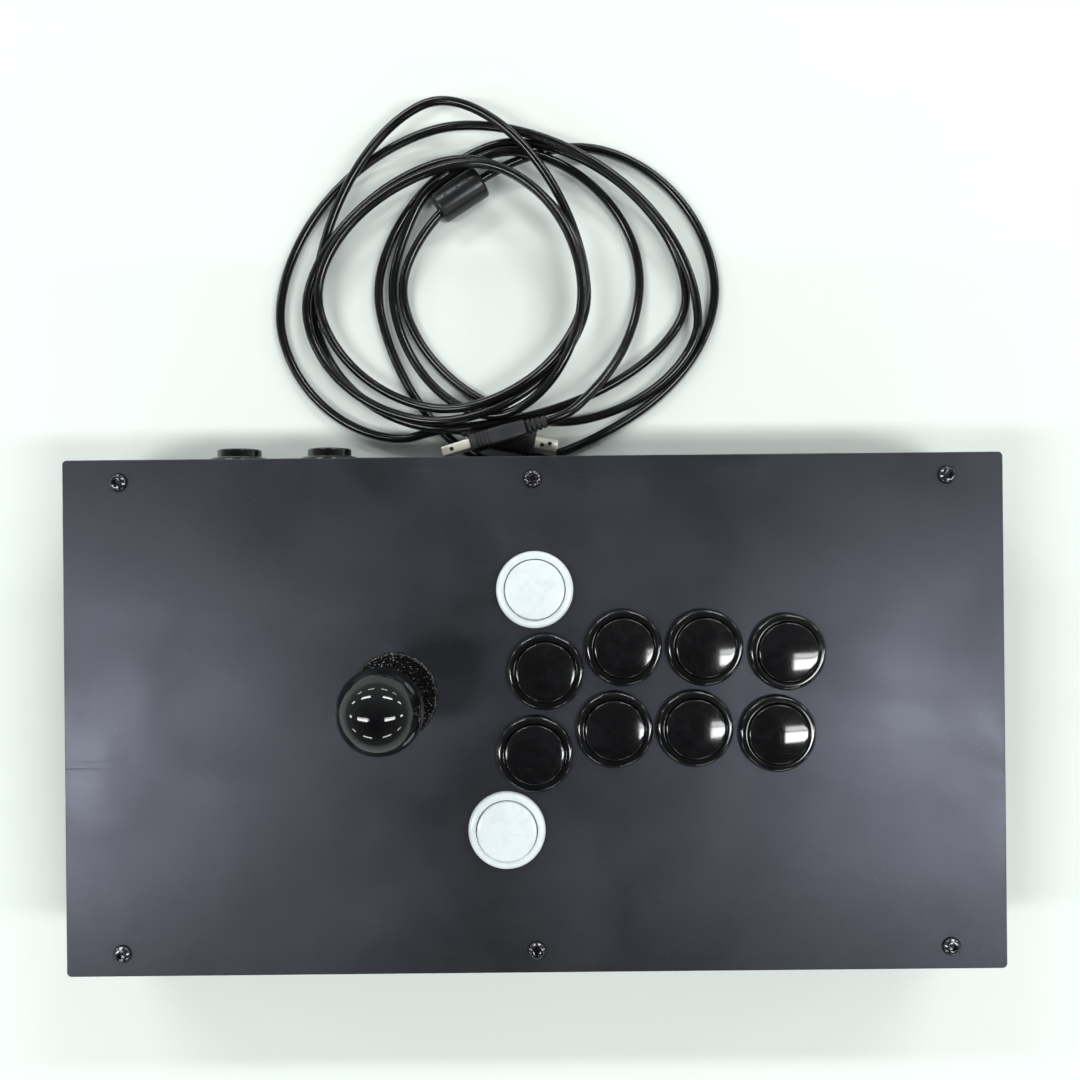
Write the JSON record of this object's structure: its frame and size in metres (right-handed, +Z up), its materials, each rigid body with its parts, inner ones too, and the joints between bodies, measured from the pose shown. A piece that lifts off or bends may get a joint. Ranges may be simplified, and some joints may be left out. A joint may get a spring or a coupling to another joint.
{
  "type": "arcade joystick panel",
  "caption": "Low black desktop controller case with a ball-top lever, round push buttons on its flat top and rear wall, and a loose coiled USB lead.",
  "frame": {"origin": "on the floor plane, below the middle of the case measured over its rear buttons and without the loose USB lead", "axes": "+X to the player's right, +Y to the rear (away from the player), +Z up"},
  "size_m": [0.406, 0.4026, 0.1186],
  "materials": {
    "panel_paint": "satin powder coat",
    "case_paint": "satin powder coat",
    "black_steel": "black oxide, gloss",
    "aluminium": "milled",
    "rubber": "matt",
    "black_gloss_plastic": "polished",
    "white_plastic": "polished",
    "black_matte_plastic": "fine grain",
    "switch_plastic": "moulded",
    "plated_steel": "zinc plated",
    "natural_nylon": "moulded",
    "board_green": "solder mask",
    "cable_jacket": "semi-gloss",
    "plug_shell": "nickel plate"
  },
  "bodies": {
    "case": {"top_panel": "panel_paint", "case_shell": "case_paint", "base_plate": "case_paint", "frame_posts": "aluminium", "panel_screws": "black_steel", "base_screws": "black_steel", "rubber_feet": "rubber", "foot_screws": "black_steel", "play_button_1_housing": "black_gloss_plastic", "play_button_2_housing": "black_gloss_plastic", "play_button_3_housing": "black_gloss_plastic", "play_button_4_housing": "black_gloss_plastic", "play_button_5_housing": "black_gloss_plastic", "play_button_6_housing": "black_gloss_plastic", "play_button_7_housing": "black_gloss_plastic", "play_button_8_housing": "black_gloss_plastic", "white_button_1_housing": "white_plastic", "white_button_2_housing": "white_plastic", "rear_button_1_housing": "black_gloss_plastic", "rear_button_2_housing": "black_gloss_plastic", "button_switches": "switch_plastic", "hole_plugs": "black_gloss_plastic", "mounting_plate": "plated_steel", "lever_studs": "plated_steel", "lever_nuts": "plated_steel", "joystick_body": "black_matte_plastic", "restrictor_gate": "black_matte_plastic", "switch_board": "board_green", "lever_switches": "switch_plastic", "return_spring": "plated_steel", "dust_washer": "black_matte_plastic", "board_standoffs": "natural_nylon", "encoder_board": "board_green", "board_parts": "black_matte_plastic", "usb_socket": "black_matte_plastic", "wiring_loom": "cable_jacket", "usb_coil": "cable_jacket", "usb_a_grip": "cable_jacket", "usb_a_shell": "plug_shell", "usb_b_grip": "cable_jacket", "usb_b_shell": "plug_shell", "ferrite_bead": "black_matte_plastic"},
    "play_button_1_cap": {"play_button_1_plunger": "black_gloss_plastic"},
    "play_button_2_cap": {"play_button_2_plunger": "black_gloss_plastic"},
    "play_button_3_cap": {"play_button_3_plunger": "black_gloss_plastic"},
    "play_button_4_cap": {"play_button_4_plunger": "black_gloss_plastic"},
    "play_button_5_cap": {"play_button_5_plunger": "black_gloss_plastic"},
    "play_button_6_cap": {"play_button_6_plunger": "black_gloss_plastic"},
    "play_button_7_cap": {"play_button_7_plunger": "black_gloss_plastic"},
    "play_button_8_cap": {"play_button_8_plunger": "black_gloss_plastic"},
    "white_button_1_cap": {"white_button_1_plunger": "white_plastic"},
    "white_button_2_cap": {"white_button_2_plunger": "white_plastic"},
    "rear_button_1_cap": {"rear_button_1_plunger": "black_gloss_plastic"},
    "rear_button_2_cap": {"rear_button_2_plunger": "black_gloss_plastic"},
    "lever_rocker": {"pivot_ball": "natural_nylon"},
    "lever": {"actuator": "black_matte_plastic", "spring_seat": "plated_steel"},
    "lever_shaft": {"shaft": "plated_steel", "ball_top": "black_gloss_plastic", "e_clip": "plated_steel"}
  },
  "joints": [
    {"name": "play_button_1_press", "type": "slide", "parent": "case", "child": "play_button_1_cap", "axis": [0, 0, -1], "range_m": [0, 0.003], "stiffness_N_per_m": 180, "springref_m": -0.002},
    {"name": "play_button_2_press", "type": "slide", "parent": "case", "child": "play_button_2_cap", "axis": [0, 0, -1], "range_m": [0, 0.003], "stiffness_N_per_m": 180, "springref_m": -0.002},
    {"name": "play_button_3_press", "type": "slide", "parent": "case", "child": "play_button_3_cap", "axis": [0, 0, -1], "range_m": [0, 0.003], "stiffness_N_per_m": 180, "springref_m": -0.002},
    {"name": "play_button_4_press", "type": "slide", "parent": "case", "child": "play_button_4_cap", "axis": [0, 0, -1], "range_m": [0, 0.003], "stiffness_N_per_m": 180, "springref_m": -0.002},
    {"name": "play_button_5_press", "type": "slide", "parent": "case", "child": "play_button_5_cap", "axis": [0, 0, -1], "range_m": [0, 0.003], "stiffness_N_per_m": 180, "springref_m": -0.002},
    {"name": "play_button_6_press", "type": "slide", "parent": "case", "child": "play_button_6_cap", "axis": [0, 0, -1], "range_m": [0, 0.003], "stiffness_N_per_m": 180, "springref_m": -0.002},
    {"name": "play_button_7_press", "type": "slide", "parent": "case", "child": "play_button_7_cap", "axis": [0, 0, -1], "range_m": [0, 0.003], "stiffness_N_per_m": 180, "springref_m": -0.002},
    {"name": "play_button_8_press", "type": "slide", "parent": "case", "child": "play_button_8_cap", "axis": [0, 0, -1], "range_m": [0, 0.003], "stiffness_N_per_m": 180, "springref_m": -0.002},
    {"name": "white_button_1_press", "type": "slide", "parent": "case", "child": "white_button_1_cap", "axis": [0, 0, -1], "range_m": [0, 0.003], "stiffness_N_per_m": 180, "springref_m": -0.002},
    {"name": "white_button_2_press", "type": "slide", "parent": "case", "child": "white_button_2_cap", "axis": [0, 0, -1], "range_m": [0, 0.003], "stiffness_N_per_m": 180, "springref_m": -0.002},
    {"name": "rear_button_1_press", "type": "slide", "parent": "case", "child": "rear_button_1_cap", "axis": [0, -1, 0], "range_m": [0, 0.0025], "stiffness_N_per_m": 180, "springref_m": -0.002},
    {"name": "rear_button_2_press", "type": "slide", "parent": "case", "child": "rear_button_2_cap", "axis": [0, -1, 0], "range_m": [0, 0.0025], "stiffness_N_per_m": 180, "springref_m": -0.002},
    {"name": "lever_fore_aft", "type": "hinge", "parent": "case", "child": "lever_rocker", "pos_m": [-0.0606, 0.005, 0.048], "axis": [1, 0, 0], "range_deg": [-8, 8], "stiffness_Nm_per_rad": 0.9, "deforming": ["return_spring"]},
    {"name": "lever_side", "type": "hinge", "parent": "lever_rocker", "child": "lever", "pos_m": [-0.0606, 0.005, 0.048], "axis": [0, 1, 0], "range_deg": [-8, 8], "stiffness_Nm_per_rad": 0.9, "deforming": ["return_spring"]},
    {"name": "lever_spin", "type": "hinge", "parent": "lever", "child": "lever_shaft", "pos_m": [-0.0606, 0.005, 0.048], "axis": [0, 0, 1], "continuous": true}
  ]
}
